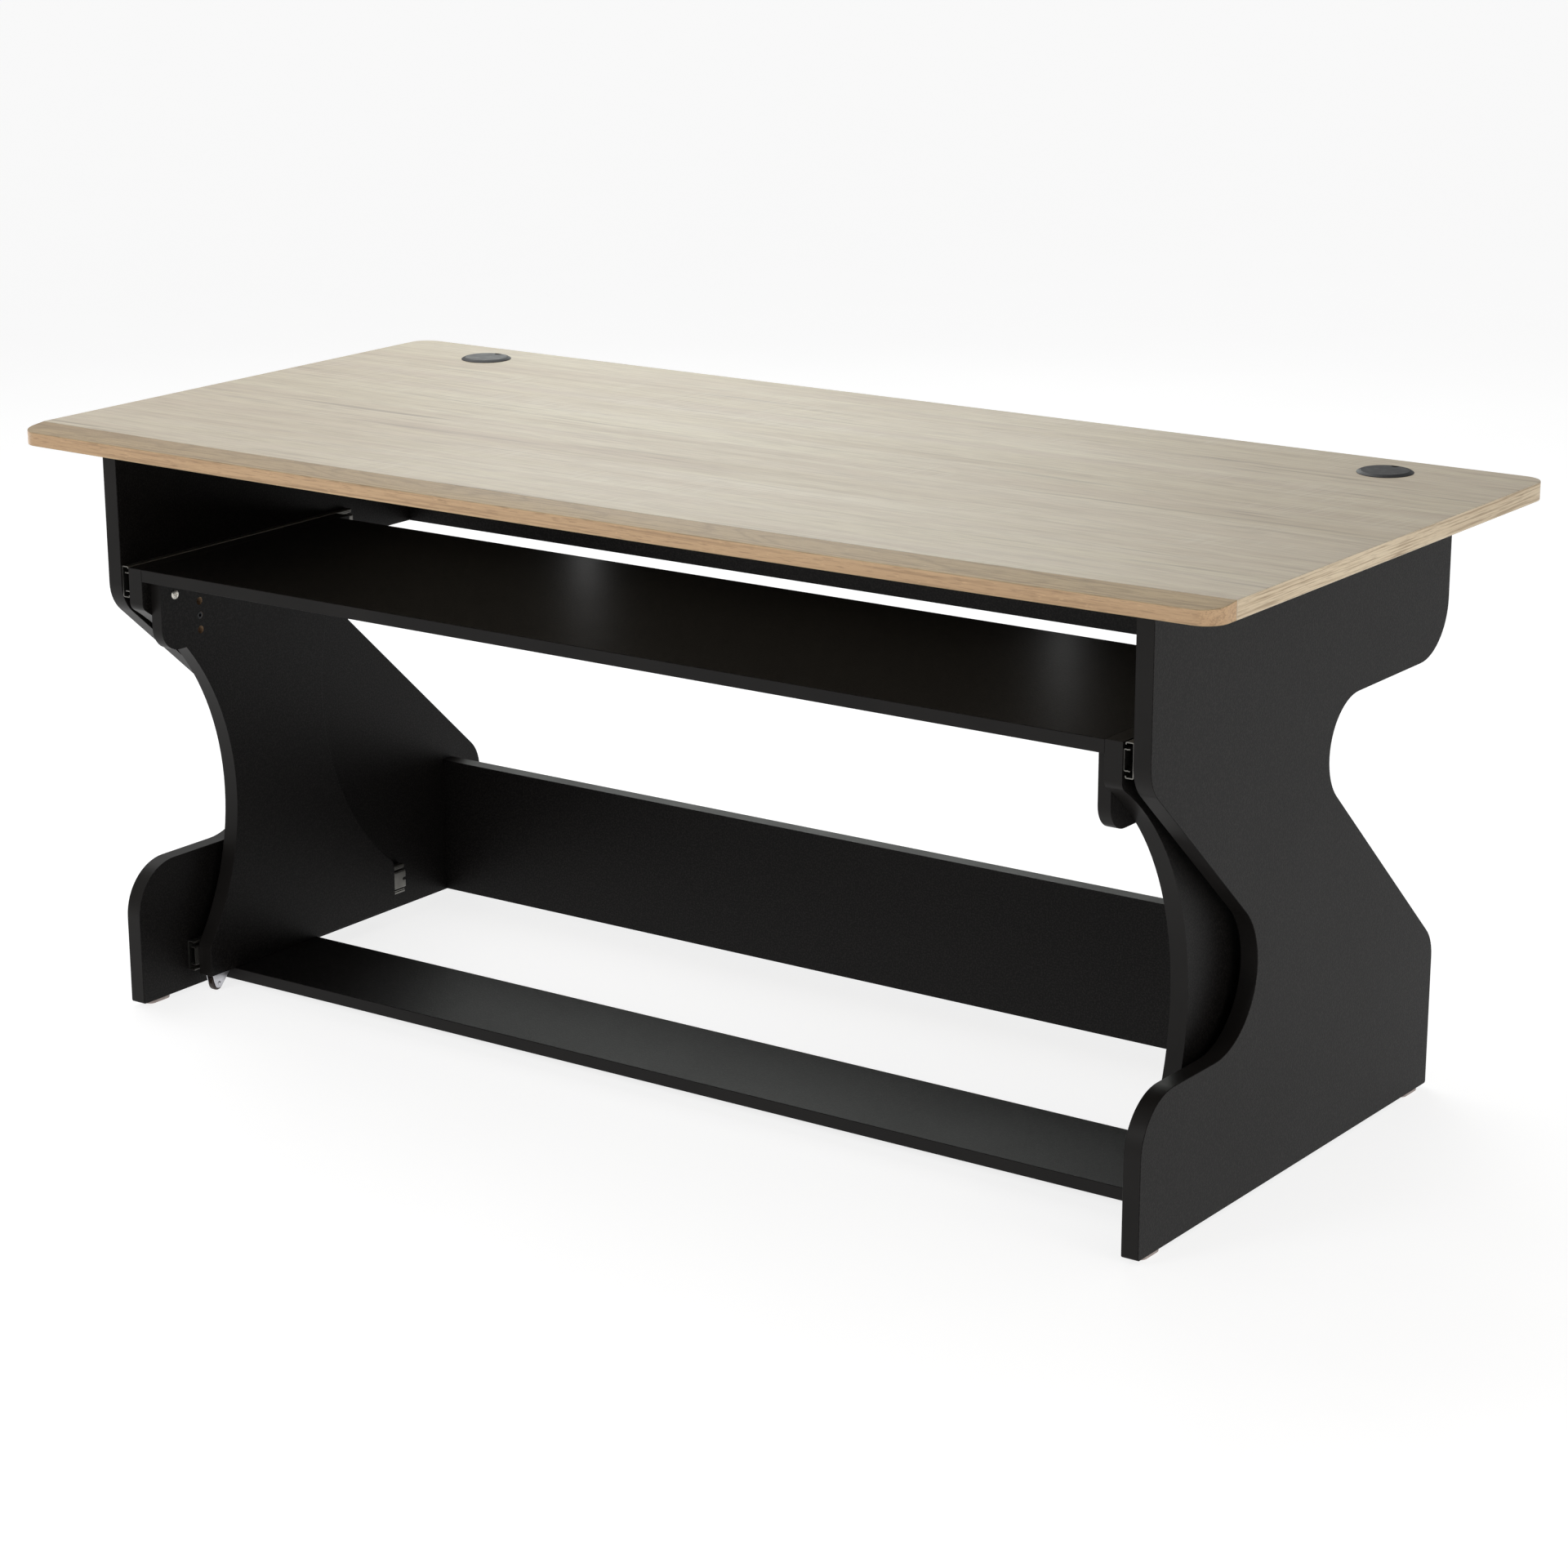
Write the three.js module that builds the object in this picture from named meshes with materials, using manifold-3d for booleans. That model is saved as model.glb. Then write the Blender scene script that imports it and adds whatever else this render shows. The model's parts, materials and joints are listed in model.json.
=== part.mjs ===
// Computer desk with a roll-out keyboard carriage.
// Millimetres. X runs along the desk, -Y is the front, +Z is up. The origin is on the floor, under the
// middle of the top.
import * as THREE from 'three';
import { mergeVertices } from 'three/addons/utils/BufferGeometryUtils.js';
import Module from 'manifold-3d';

const wasm = await Module();
wasm.setup();

// ---- driving dimensions ----
const BOARD = 22; // top, side panels, carriage panels and stretchers
const THIN_BOARD = 16; // shelf, cleats and foot plank
const FIT_GAP = 0.3; // round a piece that sits in a hole
const FACET_SAG = 0.1; // how far a flat facet may stray from the true curve

const TOP = {
  length: 1700,
  rear: 394,
  endFront: -384,
  crown: 10,
  upper: 755,
  cornerRadius: 28,
};
const TOP_UNDERSIDE = TOP.upper - BOARD;
const NOSING = { width: 43, step: 0.3, fall: 5 };

const SIDE = {
  outer: 753,
  front: -337,
  rear: 349,
  bottom: 5,
  shoulderFront: 537.7,
  footTop: 187.5,
  kneeCorner: 60.7,
  heelTop: 189.8,
  waistCorner: -39.7,
  waist: 544.3,
};
const SIDE_INNER = SIDE.outer - BOARD;
const SIDE_RADII = { shoulder: 50, knee: 91, toe: 68, foot: 3, heel: 50, waist: 65.5, haunch: 66 };

const SLIDE = {
  thickness: 12.7,
  height: 40,
  length: 420,
  middleLength: 396,
  metal: 1.2,
  ballGap: 2.6,
  bend: 2,
  webGap: 0.9,
  upperFront: -335,
  upperCentre: 564.5,
  lowerFront: -252,
  lowerCentre: 49.5,
};

const CARRIAGE_OUTER = SIDE_INNER - SLIDE.thickness;
const CARRIAGE_INNER = CARRIAGE_OUTER - BOARD;
const CARRIAGE = {
  upper: 584,
  bottom: 24,
  upperFront: -337,
  upperRear: 54,
  lowerFront: -245.5,
  lowerRear: 120,
  cornerRadius: 12,
  frontNotch: { y: -509, z: 256, radius: 326 },
  rearNotch: { y: 327.7, z: 357, radius: 340 },
};

const SHELF = { front: -337, rear: 34 };
const CLEAT = { front: -322, rear: 19, bottom: 475.5, cornerRadius: 30 };
const CLEAT_INNER = CARRIAGE_INNER - THIN_BOARD;
const CLEAT_HOLES = { fromEnd: 69.5, radius: 5, heights: [493, 511.5, 530] };
const CLEAT_SCREW = { fromEnd: 26, height: 546.6, headRadius: 6, headHeight: 2.6, shankRadius: 2 };
const PANEL_GRIP = 12; // how far screws and connectors reach into a carriage panel
const PLANK = { halfLength: 716, front: -201, rear: -40 };

const UPPER_STRETCHER = { front: 214, bottom: 544.5, height: 188 };
const LOWER_STRETCHER = { front: 269, bottom: 6, height: 188 };
const CAM = { radius: 7.5, depth: 13, fromEnd: 34, fromEdge: 40 };

const GLIDE = { length: 40, width: 18, frontCentre: -303 };

const GROMMET = {
  x: 677,
  y: 321,
  boreRadius: 30,
  wall: 2.2,
  flangeRadius: 33.5,
  flangeHeight: 2.4,
  flangeSlope: 3.2,
  seatHeight: 0.8,
  sleeveDepth: 19,
  skirtDepth: 9,
  capRise: 0.5,
  capBevel: 1,
  slotWidth: 10,
  slotInner: 21,
};

const CASTOR = {
  y: -228,
  wheelRadius: 9.75,
  wheelWidth: 9,
  plateFront: -242,
  plateRear: -203,
  metal: 1.4,
  earGap: 0.8,
  earRadius: 6,
  earInset: 3,
  axleRadius: 1.5,
  earClearance: 0.05,
  wheelClearance: 0.08,
  rivetHead: 2.6,
};

const MATERIALS = {
  oak_laminate: { color: 0xcbb79b, roughness: 0.55, metalness: 0 },
  solid_oak: { color: 0x8f7156, roughness: 0.5, metalness: 0 },
  black_melamine: { color: 0x2b2a2a, roughness: 0.6, metalness: 0 },
  zinc_steel: { color: 0xb9bcc0, roughness: 0.35, metalness: 1 },
  black_plastic: { color: 0x1b1b1c, roughness: 0.4, metalness: 0 },
  glide_plastic: { color: 0x9c8f88, roughness: 0.6, metalness: 0 },
  wheel_plastic: { color: 0x3a2c26, roughness: 0.5, metalness: 0 },
  steel_screw: { color: 0xc9ccd0, roughness: 0.3, metalness: 1 },
};

// ---- outlines ----
function facetAngle(radius) {
  return 2 * Math.acos(1 - FACET_SAG / radius);
}

// Facets round a full circle, a multiple of four so that quarter turns land on each other.
function circleFacets(radius) {
  return 4 * Math.max(3, Math.ceil(Math.PI / 2 / facetAngle(radius)));
}

function arc(cx, cy, radius, from, to) {
  const steps = Math.max(2, Math.ceil(Math.abs(to - from) / facetAngle(radius)));
  return Array.from({ length: steps + 1 }, (_, i) => {
    const angle = from + ((to - from) * i) / steps;
    return new THREE.Vector2(cx + radius * Math.cos(angle), cy + radius * Math.sin(angle));
  });
}

// Each corner is [u, v, radius]; a radius of 0 leaves it sharp.
function roundedOutline(corners) {
  return corners.flatMap(([u, v, radius], i) => {
    const corner = new THREE.Vector2(u, v);
    if (radius === 0) {
      return [corner];
    }
    const previous = corners[(i + corners.length - 1) % corners.length];
    const next = corners[(i + 1) % corners.length];
    const inward = new THREE.Vector2(previous[0], previous[1]).sub(corner).normalize();
    const outward = new THREE.Vector2(next[0], next[1]).sub(corner).normalize();
    const halfAngle = Math.acos(inward.dot(outward)) / 2;
    const centre = inward.clone().add(outward).normalize();
    centre.multiplyScalar(radius / Math.sin(halfAngle)).add(corner);
    const start = inward.multiplyScalar(radius / Math.tan(halfAngle)).add(corner).sub(centre).angle();
    const sweep = (Math.PI - 2 * halfAngle) * Math.sign(turn(previous, corners[i], next));
    return arc(centre.x, centre.y, radius, start, start + sweep);
  });
}

// Positive when the path a, b, c turns to the left.
function turn(a, b, c) {
  return (b[0] - a[0]) * (c[1] - b[1]) - (b[1] - a[1]) * (c[0] - b[0]);
}

function rectangle(u0, v0, u1, v1, radius = 0) {
  return [[u0, v0, radius], [u1, v0, radius], [u1, v1, radius], [u0, v1, radius]];
}

// ---- solids ----
const AXES = {
  x: new THREE.Vector3(1, 0, 0),
  y: new THREE.Vector3(0, 1, 0),
  z: new THREE.Vector3(0, 0, 1),
};

function extrude(points, depth, steps = 1) {
  const settings = { depth, steps, bevelEnabled: false };
  return new THREE.ExtrudeGeometry(new THREE.Shape(points), settings);
}

// Outline in Y and Z, solid from x0 to x1.
function extrudeAlongX(points, x0, x1, steps = 1) {
  const turned = new THREE.Matrix4().makeBasis(AXES.y, AXES.z, AXES.x);
  return extrude(points, x1 - x0, steps).applyMatrix4(turned).translate(x0, 0, 0);
}

// Outline in X and Z, solid from y0 to y1.
function extrudeAlongY(points, y0, y1) {
  const turned = new THREE.Matrix4().makeBasis(AXES.x, AXES.z, AXES.y.clone().negate());
  return extrude(points, y1 - y0).applyMatrix4(turned).translate(0, y1, 0);
}

function extrudeAlongZ(points, z0, z1) {
  return extrude(points, z1 - z0).translate(0, 0, z0);
}

function box(x0, x1, y0, y1, z0, z1) {
  const geometry = new THREE.BoxGeometry(x1 - x0, y1 - y0, z1 - z0);
  return geometry.translate((x0 + x1) / 2, (y0 + y1) / 2, (z0 + z1) / 2);
}

function cylinder(radius, length, facets = circleFacets(radius)) {
  return new THREE.CylinderGeometry(radius, radius, length, facets);
}

function barAlongX(radius, x0, x1, y, z, facets) {
  return cylinder(radius, x1 - x0, facets).rotateZ(Math.PI / 2).translate((x0 + x1) / 2, y, z);
}

function barAlongY(radius, x, y0, y1, z) {
  return cylinder(radius, y1 - y0).translate(x, (y0 + y1) / 2, z);
}

function barAlongZ(radius, x, y, z0, z1) {
  return cylinder(radius, z1 - z0).rotateX(Math.PI / 2).translate(x, y, (z0 + z1) / 2);
}

// Solid of revolution from a profile of [radius, height] points that starts and ends on the axis.
function turned(profile) {
  const widest = Math.max(...profile.map(([radius]) => radius));
  const points = profile.map(([radius, height]) => new THREE.Vector2(radius, height));
  return new THREE.LatheGeometry(points, circleFacets(widest));
}

function turnedAboutZ(profile, x, y) {
  return turned(profile).rotateX(Math.PI / 2).translate(x, y, 0);
}

// The profile's heights are measured from x towards the given side.
function turnedAboutX(profile, x, y, z, side = 1) {
  return turned(profile).rotateZ((-side * Math.PI) / 2).translate(x, y, z);
}

function toManifold(geometry) {
  const bare = geometry.clone();
  bare.deleteAttribute('normal');
  bare.deleteAttribute('uv');
  const welded = mergeVertices(bare);
  return new wasm.Manifold(new wasm.Mesh({
    numProp: 3,
    vertProperties: welded.attributes.position.array,
    triVerts: Uint32Array.from(welded.index.array),
  }));
}

function fromManifold(solid) {
  const mesh = solid.getMesh();
  const geometry = new THREE.BufferGeometry();
  geometry.setAttribute('position', new THREE.BufferAttribute(mesh.vertProperties, mesh.numProp));
  geometry.setIndex(new THREE.BufferAttribute(mesh.triVerts, 1));
  return geometry;
}

function cut(geometry, ...tools) {
  const solid = tools.reduce((rest, tool) => rest.subtract(toManifold(tool)), toManifold(geometry));
  return fromManifold(solid);
}

function join(geometry, ...others) {
  const solid = others.reduce((sum, other) => sum.add(toManifold(other)), toManifold(geometry));
  return fromManifold(solid);
}

// Mirror for the right-hand copy of a left-hand piece: side is -1 on the left and +1 on the right.
function mirroredSpan(side, inner, outer) {
  return [Math.min(side * inner, side * outer), Math.max(side * inner, side * outer)];
}

const SIDES = [['left', -1], ['right', 1]];
const desk = new THREE.Group();
desk.name = 'computer_desk';

function addPart(name, material, geometry) {
  const mesh = new THREE.Mesh(geometry, new THREE.MeshStandardMaterial(MATERIALS[material]));
  mesh.name = name;
  desk.add(mesh);
}

// ---- top ----
// The front edge is a shallow arc between the rounded corners, and the joint behind the nosing runs
// parallel to it.
const CORNER_X = TOP.length / 2 - TOP.cornerRadius;
const CROWN_RADIUS = (CORNER_X * CORNER_X + TOP.crown * TOP.crown) / (2 * TOP.crown);
const CROWN_CENTRE_Y = TOP.endFront - TOP.crown + CROWN_RADIUS;
const CROWN_STEPS = 16;
const JOINT_Y = TOP.endFront - TOP.crown + NOSING.width;

// How much further back than its middle the joint, or any line parallel to it, lies at this X.
function crownFall(x) {
  const radius = CROWN_CENTRE_Y - JOINT_Y;
  return radius - Math.sqrt(radius * radius - x * x);
}

// The joint from left to right.
function jointLine() {
  return Array.from({ length: CROWN_STEPS + 1 }, (_, i) => {
    const x = TOP.length * (i / CROWN_STEPS - 1 / 2);
    return new THREE.Vector2(x, JOINT_Y + crownFall(x));
  });
}

// The front edge from left to right; its ends belong to the corner arcs.
function crownLine() {
  const sweep = Math.asin(CORNER_X / CROWN_RADIUS);
  return Array.from({ length: CROWN_STEPS - 1 }, (_, i) => {
    const angle = sweep * ((2 * (i + 1)) / CROWN_STEPS - 1);
    return new THREE.Vector2(CROWN_RADIUS * Math.sin(angle), CROWN_CENTRE_Y - CROWN_RADIUS * Math.cos(angle));
  });
}

function topCorner(side, y, from) {
  return arc(side * CORNER_X, y, TOP.cornerRadius, from, from + Math.PI / 2);
}

// The waste planed off the nosing: its lower face slopes down to the front, parallel to the joint.
function planedWaste() {
  const margin = 10;
  const slope = (NOSING.fall - NOSING.step) / NOSING.width;
  const faceAt = (y) => TOP.upper - NOSING.step + slope * (y - JOINT_Y);
  const rear = JOINT_Y + margin;
  const front = JOINT_Y - NOSING.width - margin;
  const section = [
    [rear, faceAt(rear)],
    [rear, TOP.upper + margin],
    [front, TOP.upper + margin],
    [front, faceAt(front)],
  ];
  const points = section.map(([y, z]) => new THREE.Vector2(y, z));
  const geometry = extrudeAlongX(points, -TOP.length / 2 - margin, TOP.length / 2 + margin, CROWN_STEPS);
  const { position } = geometry.attributes;
  for (let i = 0; i < position.count; i += 1) {
    position.setY(i, position.getY(i) + crownFall(position.getX(i)));
  }
  return geometry;
}

function addTop() {
  const bores = SIDES.map(([, side]) => (
    barAlongZ(GROMMET.boreRadius, side * GROMMET.x, GROMMET.y, TOP_UNDERSIDE - 1, TOP.upper + 1)
  ));
  const board = [
    ...jointLine(),
    ...topCorner(1, TOP.rear - TOP.cornerRadius, 0),
    ...topCorner(-1, TOP.rear - TOP.cornerRadius, Math.PI / 2),
  ];
  const nosing = [
    ...jointLine().reverse(),
    ...topCorner(-1, TOP.endFront + TOP.cornerRadius, Math.PI),
    ...crownLine(),
    ...topCorner(1, TOP.endFront + TOP.cornerRadius, -Math.PI / 2),
  ];
  addPart('desktop_board', 'oak_laminate', cut(extrudeAlongZ(board, TOP_UNDERSIDE, TOP.upper), ...bores));
  addPart('front_nosing', 'solid_oak', cut(extrudeAlongZ(nosing, TOP_UNDERSIDE, TOP.upper), planedWaste()));
}

// ---- side panels and stretchers ----
function addSidePanel(name, side) {
  const outline = roundedOutline([
    [SIDE.front, TOP_UNDERSIDE, 0],
    [SIDE.front, SIDE.shoulderFront, SIDE_RADII.shoulder],
    [SIDE.kneeCorner, SIDE.footTop, SIDE_RADII.knee],
    [SIDE.front, SIDE.footTop, SIDE_RADII.toe],
    [SIDE.front, SIDE.bottom, SIDE_RADII.foot],
    [SIDE.rear, SIDE.bottom, SIDE_RADII.foot],
    [SIDE.rear, SIDE.heelTop, SIDE_RADII.heel],
    [SIDE.waistCorner, SIDE.waist, SIDE_RADII.waist],
    [SIDE.rear, SIDE.waist, SIDE_RADII.haunch],
    [SIDE.rear, TOP_UNDERSIDE, 0],
  ]);
  const span = mirroredSpan(side, SIDE_INNER, SIDE.outer);
  addPart(`side_panel_${name}`, 'black_melamine', extrudeAlongX(outline, ...span));
}

// A board across the desk between the side panels, with its cam fittings in pockets on the rear face.
function addStretcher(name, stretcher) {
  const rear = stretcher.front + BOARD;
  const top = stretcher.bottom + stretcher.height;
  const spots = SIDES.flatMap(([sideName, side]) => [
    [`${sideName}_lower`, side, stretcher.bottom + CAM.fromEdge],
    [`${sideName}_upper`, side, top - CAM.fromEdge],
  ]);
  const camX = SIDE_INNER - CAM.fromEnd;
  const pocketFloor = rear - CAM.depth;
  const pockets = spots.map(([, side, z]) => barAlongY(CAM.radius, side * camX, pocketFloor, rear + 1, z));
  const board = box(-SIDE_INNER, SIDE_INNER, stretcher.front, rear, stretcher.bottom, top);
  addPart(`rear_stretcher_${name}`, 'black_melamine', cut(board, ...pockets));
  for (const [spot, side, z] of spots) {
    const disc = barAlongY(CAM.radius - FIT_GAP, side * camX, pocketFloor, rear - FIT_GAP, z);
    addPart(`cam_fitting_${name}_${spot}`, 'zinc_steel', disc);
  }
}

function addGlides(name, side) {
  const centreX = side * (SIDE_INNER + SIDE.outer) / 2;
  const rearCentre = SIDE.front + SIDE.rear - GLIDE.frontCentre;
  for (const [end, y] of [['front', GLIDE.frontCentre], ['rear', rearCentre]]) {
    const corners = rectangle(
      centreX - GLIDE.width / 2,
      y - GLIDE.length / 2,
      centreX + GLIDE.width / 2,
      y + GLIDE.length / 2,
      GLIDE.width / 2 - FIT_GAP,
    );
    addPart(`glide_${end}_${name}`, 'glide_plastic', extrudeAlongZ(roundedOutline(corners), 0, SIDE.bottom));
  }
}

// ---- telescopic slides ----
// A channel of bent strip: its web lies at u0 and its two lips reach to u1, either way along X.
function channel(u0, u1, halfHeight, z) {
  const metal = SLIDE.metal * Math.sign(u1 - u0);
  const bend = SLIDE.bend;
  const innerBend = SLIDE.bend - SLIDE.metal;
  const inner = halfHeight - SLIDE.metal;
  return roundedOutline([
    [u1, z - halfHeight, 0],
    [u1, z - inner, 0],
    [u0 + metal, z - inner, innerBend],
    [u0 + metal, z + inner, innerBend],
    [u1, z + inner, 0],
    [u1, z + halfHeight, 0],
    [u0, z + halfHeight, bend],
    [u0, z - halfHeight, bend],
  ]);
}

function addSlide(name, side, front, z) {
  const rear = front + SLIDE.length;
  const step = SLIDE.metal + SLIDE.ballGap;
  const half = SLIDE.height / 2;
  const cabinetWeb = SIDE_INNER;
  const drawerWeb = CARRIAGE_OUTER;
  const middleWeb = cabinetWeb - SLIDE.metal - SLIDE.webGap;
  const cabinetLip = drawerWeb + SLIDE.metal + SLIDE.webGap;
  const drawerLip = middleWeb - SLIDE.metal - SLIDE.webGap;
  const member = (web, lip, halfHeight, length) => (
    extrudeAlongY(channel(side * web, side * lip, halfHeight, z), rear - length, rear)
  );
  const cabinet = member(cabinetWeb, cabinetLip, half, SLIDE.length);
  const middle = member(middleWeb, cabinetLip, half - step, SLIDE.middleLength);
  const drawer = member(drawerWeb, drawerLip, half - 2 * step, SLIDE.length);
  addPart(`slide_cabinet_${name}`, 'zinc_steel', cabinet);
  addPart(`slide_middle_${name}`, 'zinc_steel', middle);
  addPart(`slide_drawer_${name}`, 'zinc_steel', drawer);
}

// ---- carriage ----
// Centre of the small arc that eases the corner between a notch and an upright edge; the panel lies on
// the inward side of the edge, and the corner is above (+1) or below (-1) the notch's middle.
function easedCorner(notch, edge, inward, above) {
  const y = edge + inward * CARRIAGE.cornerRadius;
  const reach = notch.radius + CARRIAGE.cornerRadius;
  const z = notch.z + above * Math.sqrt(reach * reach - (y - notch.y) ** 2);
  return { y, z, toNotch: Math.atan2(notch.z - z, notch.y - y) };
}

function carriagePanelOutline() {
  const { frontNotch, rearNotch, cornerRadius, upper, bottom } = CARRIAGE;
  const frontUpper = easedCorner(frontNotch, CARRIAGE.upperFront, 1, 1);
  const frontLower = easedCorner(frontNotch, CARRIAGE.lowerFront, 1, -1);
  const rearLower = easedCorner(rearNotch, CARRIAGE.lowerRear, -1, -1);
  const rearUpper = easedCorner(rearNotch, CARRIAGE.upperRear, -1, 1);
  const half = Math.PI;
  return [
    new THREE.Vector2(CARRIAGE.upperRear, upper),
    new THREE.Vector2(CARRIAGE.upperFront, upper),
    ...arc(frontUpper.y, frontUpper.z, cornerRadius, half, frontUpper.toNotch + 2 * half),
    ...notchArc(frontNotch, frontUpper.toNotch + half, frontLower.toNotch - half),
    ...arc(frontLower.y, frontLower.z, cornerRadius, frontLower.toNotch, half),
    new THREE.Vector2(CARRIAGE.lowerFront, bottom),
    new THREE.Vector2(CARRIAGE.lowerRear, bottom),
    ...arc(rearLower.y, rearLower.z, cornerRadius, 0, rearLower.toNotch),
    ...notchArc(rearNotch, rearLower.toNotch - half, rearUpper.toNotch - half),
    ...arc(rearUpper.y, rearUpper.z, cornerRadius, rearUpper.toNotch, 0),
  ];
}

// The hollow arc of a notch without its ends, which belong to the eased corners.
function notchArc(notch, from, to) {
  return arc(notch.y, notch.z, notch.radius, from, to).slice(1, -1);
}

// Places along a cleat for its fixings, the same distance in from both ends.
function fromBothEnds(distance) {
  return [['front', CLEAT.front + distance], ['rear', CLEAT.rear - distance]];
}

function cleatBores(side, radius, inner, outer, distance, heights) {
  return fromBothEnds(distance).flatMap(([, y]) => (
    heights.map((z) => barAlongX(radius, ...mirroredSpan(side, inner, outer), y, z))
  ));
}

function addCarriageSide(name, side) {
  const grip = CARRIAGE_INNER + PANEL_GRIP;
  const screwBore = CLEAT_SCREW.shankRadius + FIT_GAP;
  const pastFace = CLEAT_INNER - 1;
  const connectorHeight = CLEAT_HOLES.heights[1];
  const panel = extrudeAlongX(carriagePanelOutline(), ...mirroredSpan(side, CARRIAGE_INNER, CARRIAGE_OUTER));
  const screwBores = cleatBores(side, screwBore, pastFace, grip, CLEAT_SCREW.fromEnd, [CLEAT_SCREW.height]);
  const boltBores = cleatBores(side, screwBore, pastFace, grip, CLEAT_HOLES.fromEnd, [connectorHeight]);
  addPart(`carriage_panel_${name}`, 'black_melamine', cut(panel, ...screwBores, ...boltBores));

  const outline = roundedOutline([
    [CLEAT.front, CARRIAGE.upper - THIN_BOARD, 0],
    [CLEAT.front, CLEAT.bottom, CLEAT.cornerRadius],
    [CLEAT.rear, CLEAT.bottom, CLEAT.cornerRadius],
    [CLEAT.rear, CARRIAGE.upper - THIN_BOARD, 0],
  ]);
  const cleat = extrudeAlongX(outline, ...mirroredSpan(side, CLEAT_INNER, CARRIAGE_INNER));
  const holes = cleatBores(
    side, CLEAT_HOLES.radius, pastFace, CARRIAGE_INNER + 1, CLEAT_HOLES.fromEnd, CLEAT_HOLES.heights,
  );
  addPart(`shelf_cleat_${name}`, 'black_melamine', cut(cleat, ...screwBores, ...holes));

  for (const [end, y] of fromBothEnds(CLEAT_SCREW.fromEnd)) {
    addPart(`cleat_screw_${end}_${name}`, 'steel_screw', cleatScrew(side, y));
  }
  for (const [end, y] of fromBothEnds(CLEAT_HOLES.fromEnd)) {
    addPart(`cleat_connector_${end}_${name}`, 'black_plastic', cleatConnector(side, y, connectorHeight));
  }
}

// Pan-head screw driven outwards through the cleat into the carriage panel.
function cleatScrew(side, y) {
  const { headRadius, headHeight, shankRadius } = CLEAT_SCREW;
  const length = THIN_BOARD + PANEL_GRIP - FIT_GAP;
  const crown = [60, 30, 0].map(THREE.MathUtils.degToRad).map((angle) => [
    headRadius * Math.cos(angle),
    -headHeight * Math.sin(angle),
  ]);
  const shank = [[shankRadius, 0], [shankRadius, length - shankRadius], [0, length]];
  const profile = [[0, -headHeight], ...crown, ...shank];
  return turnedAboutX(profile, side * CLEAT_INNER, y, CLEAT_SCREW.height, side);
}

// Plastic connector that fills one of the cleat's holes, with a pin into the carriage panel.
function cleatConnector(side, y, z) {
  const bodyRadius = CLEAT_HOLES.radius - FIT_GAP;
  const socketDepth = 5;
  const socketEnd = CLEAT_INNER + socketDepth;
  const socketRadius = 2.6;
  const hexagon = 6;
  const pinEnd = CARRIAGE_INNER + PANEL_GRIP - FIT_GAP;
  const barrel = barAlongX(bodyRadius, ...mirroredSpan(side, CLEAT_INNER, CARRIAGE_INNER - FIT_GAP), y, z);
  const pin = barAlongX(CLEAT_SCREW.shankRadius, ...mirroredSpan(side, socketEnd, pinEnd), y, z);
  const socket = barAlongX(socketRadius, ...mirroredSpan(side, CLEAT_INNER - 1, socketEnd), y, z, hexagon);
  return cut(join(barrel, pin), socket);
}

function addShelfAndPlank() {
  const shelf = box(
    -CARRIAGE_INNER, CARRIAGE_INNER, SHELF.front, SHELF.rear, CARRIAGE.upper - THIN_BOARD, CARRIAGE.upper,
  );
  const { halfLength, front, rear } = PLANK;
  const plank = box(-halfLength, halfLength, front, rear, CARRIAGE.bottom - THIN_BOARD, CARRIAGE.bottom);
  addPart('keyboard_shelf', 'black_melamine', shelf);
  addPart('foot_plank', 'black_melamine', plank);
}

// ---- castors ----
function addCastor(name, side) {
  const x = side * (CARRIAGE_INNER + CARRIAGE_OUTER) / 2;
  const z = CASTOR.wheelRadius;
  const earInner = CASTOR.wheelWidth / 2 + CASTOR.earGap;
  const earOuter = earInner + CASTOR.metal;
  const plateBottom = CARRIAGE.bottom - CASTOR.metal;
  const { earRadius, plateFront, plateRear } = CASTOR;
  const earOutline = roundedOutline([
    [plateFront + CASTOR.earInset, plateBottom + CASTOR.metal / 2, 0],
    [CASTOR.y - earRadius, z - earRadius, earRadius],
    [CASTOR.y + earRadius / 2, z - earRadius, earRadius / 2],
    [plateRear - CASTOR.earInset, plateBottom + CASTOR.metal / 2, 0],
  ]);
  const ears = [-1, 1].map((way) => {
    const faces = [x + way * earInner, x + way * earOuter].sort((a, b) => a - b);
    return extrudeAlongX(earOutline, ...faces);
  });
  const plate = box(x - earOuter, x + earOuter, plateFront, plateRear, plateBottom, CARRIAGE.bottom);
  const earBore = CASTOR.axleRadius + CASTOR.earClearance;
  const axleHole = barAlongX(earBore, x - earOuter - 1, x + earOuter + 1, CASTOR.y, z);
  addPart(`castor_bracket_${name}`, 'zinc_steel', cut(join(plate, ...ears), axleHole));
  addPart(`castor_axle_${name}`, 'zinc_steel', castorAxle(x, z, earOuter));
  addPart(`castor_wheel_${name}`, 'wheel_plastic', castorWheel(x, z));
}

// A pin with a riveted head outside each ear.
function castorAxle(x, z, earOuter) {
  const headGap = 0.1;
  const headHeight = 1;
  const inner = earOuter + headGap;
  const outer = inner + headHeight;
  return turnedAboutX([
    [0, -outer],
    [CASTOR.rivetHead - headHeight / 2, -outer],
    [CASTOR.rivetHead, -inner],
    [CASTOR.axleRadius, -inner],
    [CASTOR.axleRadius, inner],
    [CASTOR.rivetHead, inner],
    [CASTOR.rivetHead - headHeight / 2, outer],
    [0, outer],
  ], x, CASTOR.y, z);
}

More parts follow.
